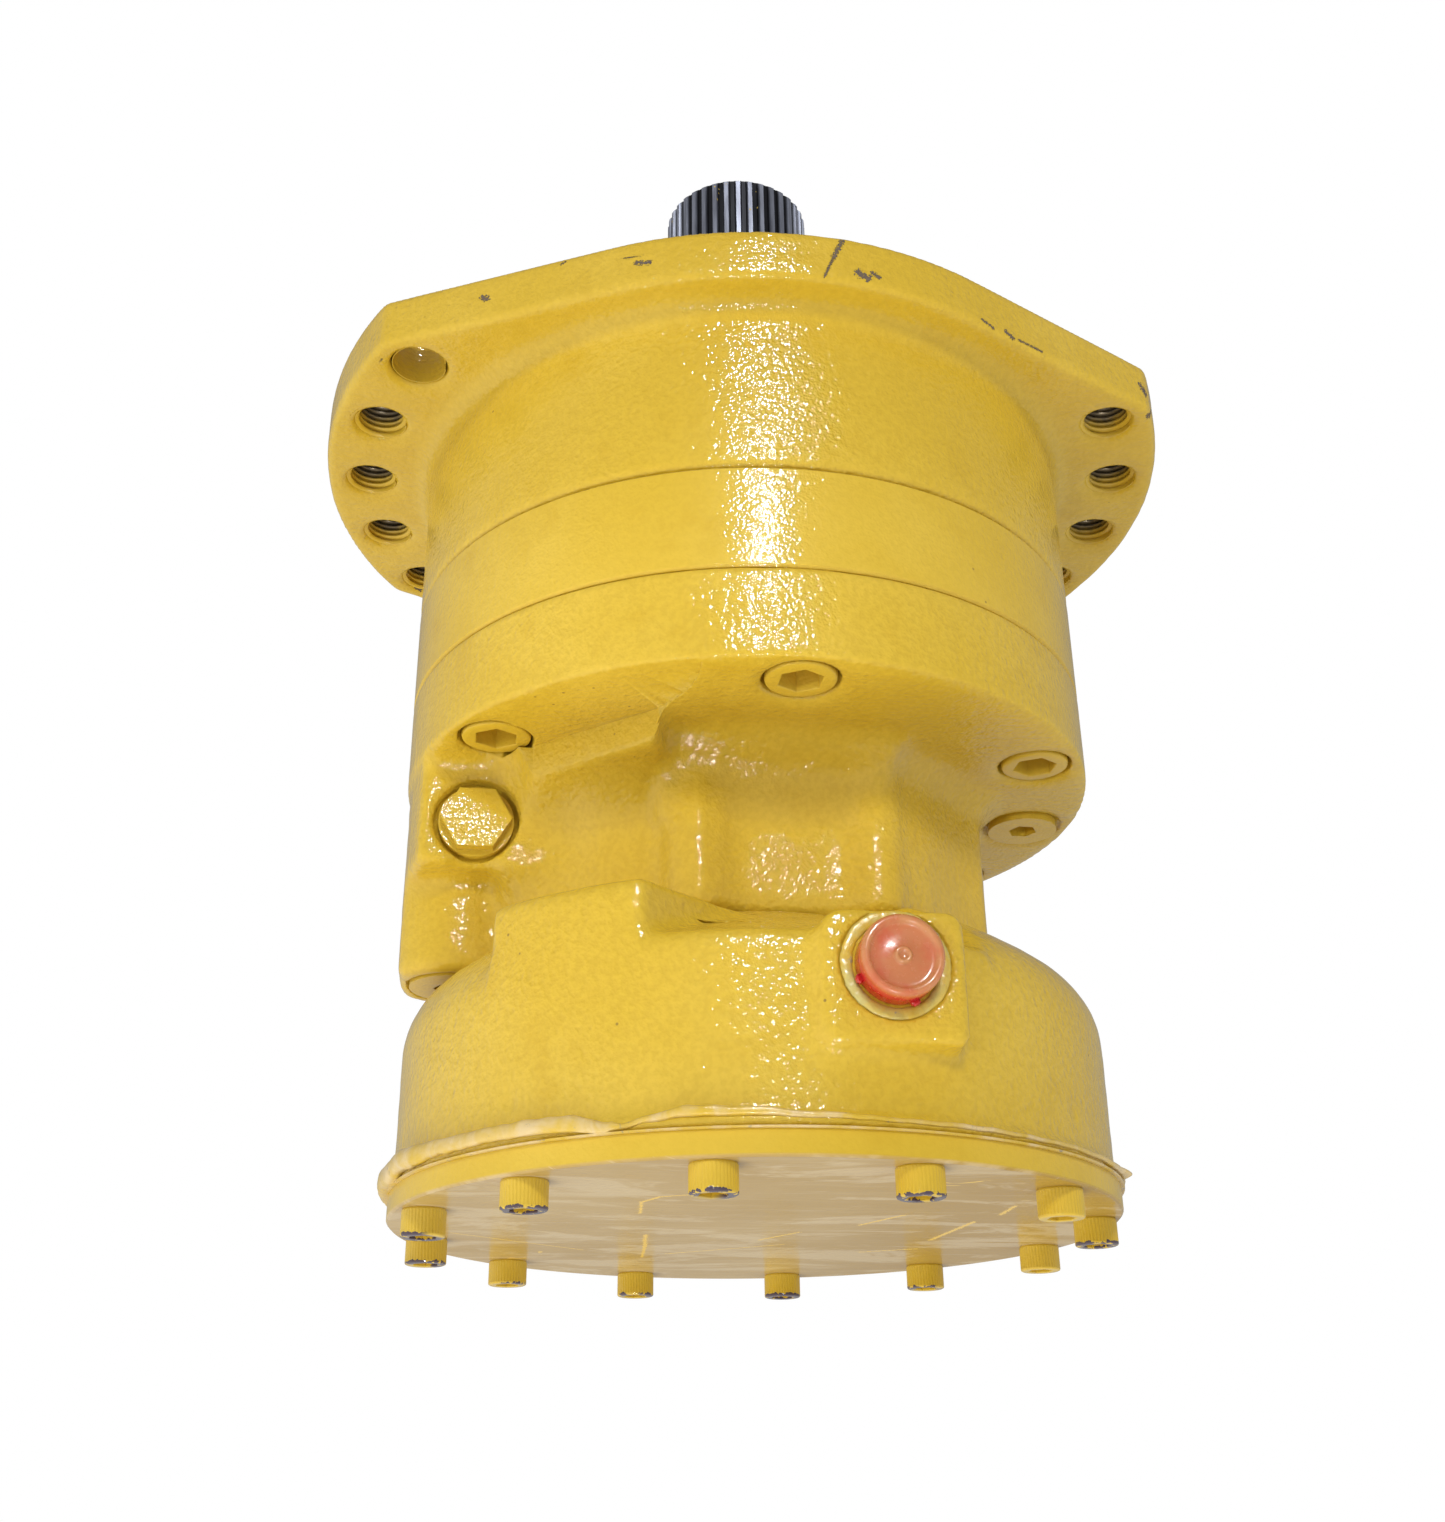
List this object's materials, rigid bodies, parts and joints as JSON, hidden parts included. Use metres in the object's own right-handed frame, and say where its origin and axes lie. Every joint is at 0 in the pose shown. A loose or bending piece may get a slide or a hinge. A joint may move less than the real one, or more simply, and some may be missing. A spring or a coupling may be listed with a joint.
{
  "type": "hydraulic wheel motor",
  "caption": "Radial piston hydraulic motor with an eared mounting flange, splined output shaft and spring-applied disc brake at the rear.",
  "frame": {"origin": "on the shaft's axis, in the upper face of the mounting flange", "axes": "+Z along the shaft towards its splined end, +X through the ears of the flange, -Y towards the brake's pressure port"},
  "size_m": [0.4228, 0.3586, 0.5677],
  "materials": {
    "yellow_paint": "gloss",
    "bearing_steel": "ground",
    "shaft_steel": "machined, oiled",
    "cast_iron": "machined",
    "rubber": "matt",
    "friction": "sintered",
    "cap_plastic": "moulded",
    "spring_steel": "phosphated"
  },
  "bodies": {
    "housing": {"bearing_support": "yellow_paint", "cam_ring": "yellow_paint", "distribution_cover": "yellow_paint", "brake_housing": "yellow_paint", "brake_cover_plate": "yellow_paint", "cover_gasket": "rubber", "housing_screws": "yellow_paint", "cover_screws": "yellow_paint", "brake_housing_screws": "bearing_steel", "dowel_pins": "bearing_steel", "cam_ring_seals": "rubber", "neck_seal": "rubber", "drain_plug": "yellow_paint", "side_port_plug": "yellow_paint", "case_port_plug": "yellow_paint", "speed_plug": "yellow_paint", "speed_plug_washer": "bearing_steel", "brake_port_cap": "cap_plastic", "front_bearing_cup": "bearing_steel", "rear_bearing_cup": "bearing_steel", "shaft_seal": "rubber", "seal_snap_ring": "spring_steel", "distributor": "cast_iron", "distributor_seals": "rubber", "distributor_spring": "spring_steel", "brake_plates": "spring_steel", "brake_disc_springs": "spring_steel", "speed_spool_spring": "spring_steel"},
    "shaft": {"output_shaft": "shaft_steel", "front_bearing_cone": "bearing_steel", "rear_bearing_cone": "bearing_steel", "bearing_nut": "shaft_steel", "cylinder_block": "cast_iron", "brake_shaft": "shaft_steel", "friction_discs": "friction"},
    "front_cage": {"front_bearing_rollers": "bearing_steel", "front_bearing_cage": "bearing_steel"},
    "rear_cage": {"rear_bearing_rollers": "bearing_steel", "rear_bearing_cage": "bearing_steel"},
    "brake_piston": {"brake_piston": "cast_iron", "brake_piston_seals": "rubber"},
    "speed_spool": {"speed_spool": "bearing_steel"},
    "piston_1": {"piston_1": "bearing_steel"},
    "cam_roller_1": {"cam_roller_1": "bearing_steel"},
    "piston_2": {"piston_2": "bearing_steel"},
    "cam_roller_2": {"cam_roller_2": "bearing_steel"},
    "piston_3": {"piston_3": "bearing_steel"},
    "cam_roller_3": {"cam_roller_3": "bearing_steel"},
    "piston_4": {"piston_4": "bearing_steel"},
    "cam_roller_4": {"cam_roller_4": "bearing_steel"},
    "piston_5": {"piston_5": "bearing_steel"},
    "cam_roller_5": {"cam_roller_5": "bearing_steel"},
    "piston_6": {"piston_6": "bearing_steel"},
    "cam_roller_6": {"cam_roller_6": "bearing_steel"},
    "piston_7": {"piston_7": "bearing_steel"},
    "cam_roller_7": {"cam_roller_7": "bearing_steel"},
    "piston_8": {"piston_8": "bearing_steel"},
    "cam_roller_8": {"cam_roller_8": "bearing_steel"}
  },
  "joints": [
    {"name": "shaft_spin", "type": "hinge", "parent": "housing", "child": "shaft", "pos_m": [0, 0, 0], "axis": [0, 0, 1], "continuous": true},
    {"name": "front_cage_spin", "type": "hinge", "parent": "housing", "child": "front_cage", "pos_m": [0, 0, 0], "axis": [0, 0, 1], "continuous": true},
    {"name": "rear_cage_spin", "type": "hinge", "parent": "housing", "child": "rear_cage", "pos_m": [0, 0, 0], "axis": [0, 0, 1], "continuous": true},
    {"name": "piston_1_stroke", "type": "slide", "parent": "shaft", "child": "piston_1", "axis": [1, 0, 0], "range_m": [0, 0.01342]},
    {"name": "piston_2_stroke", "type": "slide", "parent": "shaft", "child": "piston_2", "axis": [0.7071, 0.7071, 0], "range_m": [0, 0.00668]},
    {"name": "piston_3_stroke", "type": "slide", "parent": "shaft", "child": "piston_3", "axis": [0, 1, 0], "range_m": [0, 0.00144]},
    {"name": "piston_4_stroke", "type": "slide", "parent": "shaft", "child": "piston_4", "axis": [-0.7071, 0.7071, 0], "range_m": [0, 0.00668]},
    {"name": "piston_5_stroke", "type": "slide", "parent": "shaft", "child": "piston_5", "axis": [-1, 0, 0], "range_m": [0, 0.01344]},
    {"name": "piston_6_stroke", "type": "slide", "parent": "shaft", "child": "piston_6", "axis": [-0.7071, -0.7071, 0], "range_m": [0, 0.00668]},
    {"name": "piston_7_stroke", "type": "slide", "parent": "shaft", "child": "piston_7", "axis": [0, -1, 0], "range_m": [0, 0.00144]},
    {"name": "piston_8_stroke", "type": "slide", "parent": "shaft", "child": "piston_8", "axis": [0.7071, -0.7071, 0], "range_m": [0, 0.00668]},
    {"name": "cam_roller_1_spin", "type": "hinge", "parent": "piston_1", "child": "cam_roller_1", "pos_m": [0.0905, 0, -0.13345], "axis": [0, 0, 1], "continuous": true},
    {"name": "cam_roller_2_spin", "type": "hinge", "parent": "piston_2", "child": "cam_roller_2", "pos_m": [0.06399, 0.06399, -0.13345], "axis": [0, 0, 1], "continuous": true},
    {"name": "cam_roller_3_spin", "type": "hinge", "parent": "piston_3", "child": "cam_roller_3", "pos_m": [0, 0.0905, -0.13345], "axis": [0, 0, 1], "continuous": true},
    {"name": "cam_roller_4_spin", "type": "hinge", "parent": "piston_4", "child": "cam_roller_4", "pos_m": [-0.06399, 0.06399, -0.13345], "axis": [0, 0, 1], "continuous": true},
    {"name": "cam_roller_5_spin", "type": "hinge", "parent": "piston_5", "child": "cam_roller_5", "pos_m": [-0.0905, 0, -0.13345], "axis": [0, 0, 1], "continuous": true},
    {"name": "cam_roller_6_spin", "type": "hinge", "parent": "piston_6", "child": "cam_roller_6", "pos_m": [-0.06399, -0.06399, -0.13345], "axis": [0, 0, 1], "continuous": true},
    {"name": "cam_roller_7_spin", "type": "hinge", "parent": "piston_7", "child": "cam_roller_7", "pos_m": [0, -0.0905, -0.13345], "axis": [0, 0, 1], "continuous": true},
    {"name": "cam_roller_8_spin", "type": "hinge", "parent": "piston_8", "child": "cam_roller_8", "pos_m": [0.06399, -0.06399, -0.13345], "axis": [0, 0, 1], "continuous": true},
    {"name": "brake_release", "type": "slide", "parent": "housing", "child": "brake_piston", "axis": [0, 0, -1], "range_m": [0, 0.0025], "deforming": ["brake_disc_springs"]},
    {"name": "speed_shift", "type": "slide", "parent": "housing", "child": "speed_spool", "axis": [0, -1, 0], "range_m": [0, 0.008], "deforming": ["speed_spool_spring"]}
  ],
  "couplings": [
    {"joint": "front_cage_spin", "follows": "shaft_spin", "ratio": 0.45},
    {"joint": "rear_cage_spin", "follows": "shaft_spin", "ratio": 0.4464},
    {"joint": "piston_2_stroke", "follows": "piston_1_stroke", "ratio": 0.49627},
    {"joint": "piston_3_stroke", "follows": "piston_1_stroke", "ratio": 0.10581},
    {"joint": "piston_4_stroke", "follows": "piston_1_stroke", "ratio": 0.49627},
    {"joint": "piston_5_stroke", "follows": "piston_1_stroke", "ratio": 1},
    {"joint": "piston_6_stroke", "follows": "piston_1_stroke", "ratio": 0.49627},
    {"joint": "piston_7_stroke", "follows": "piston_1_stroke", "ratio": 0.10581},
    {"joint": "piston_8_stroke", "follows": "piston_1_stroke", "ratio": 0.49627},
    {"joint": "cam_roller_2_spin", "follows": "cam_roller_1_spin", "ratio": 1},
    {"joint": "cam_roller_3_spin", "follows": "cam_roller_1_spin", "ratio": 1},
    {"joint": "cam_roller_4_spin", "follows": "cam_roller_1_spin", "ratio": 1},
    {"joint": "cam_roller_5_spin", "follows": "cam_roller_1_spin", "ratio": 1},
    {"joint": "cam_roller_6_spin", "follows": "cam_roller_1_spin", "ratio": 1},
    {"joint": "cam_roller_7_spin", "follows": "cam_roller_1_spin", "ratio": 1},
    {"joint": "cam_roller_8_spin", "follows": "cam_roller_1_spin", "ratio": 1}
  ]
}
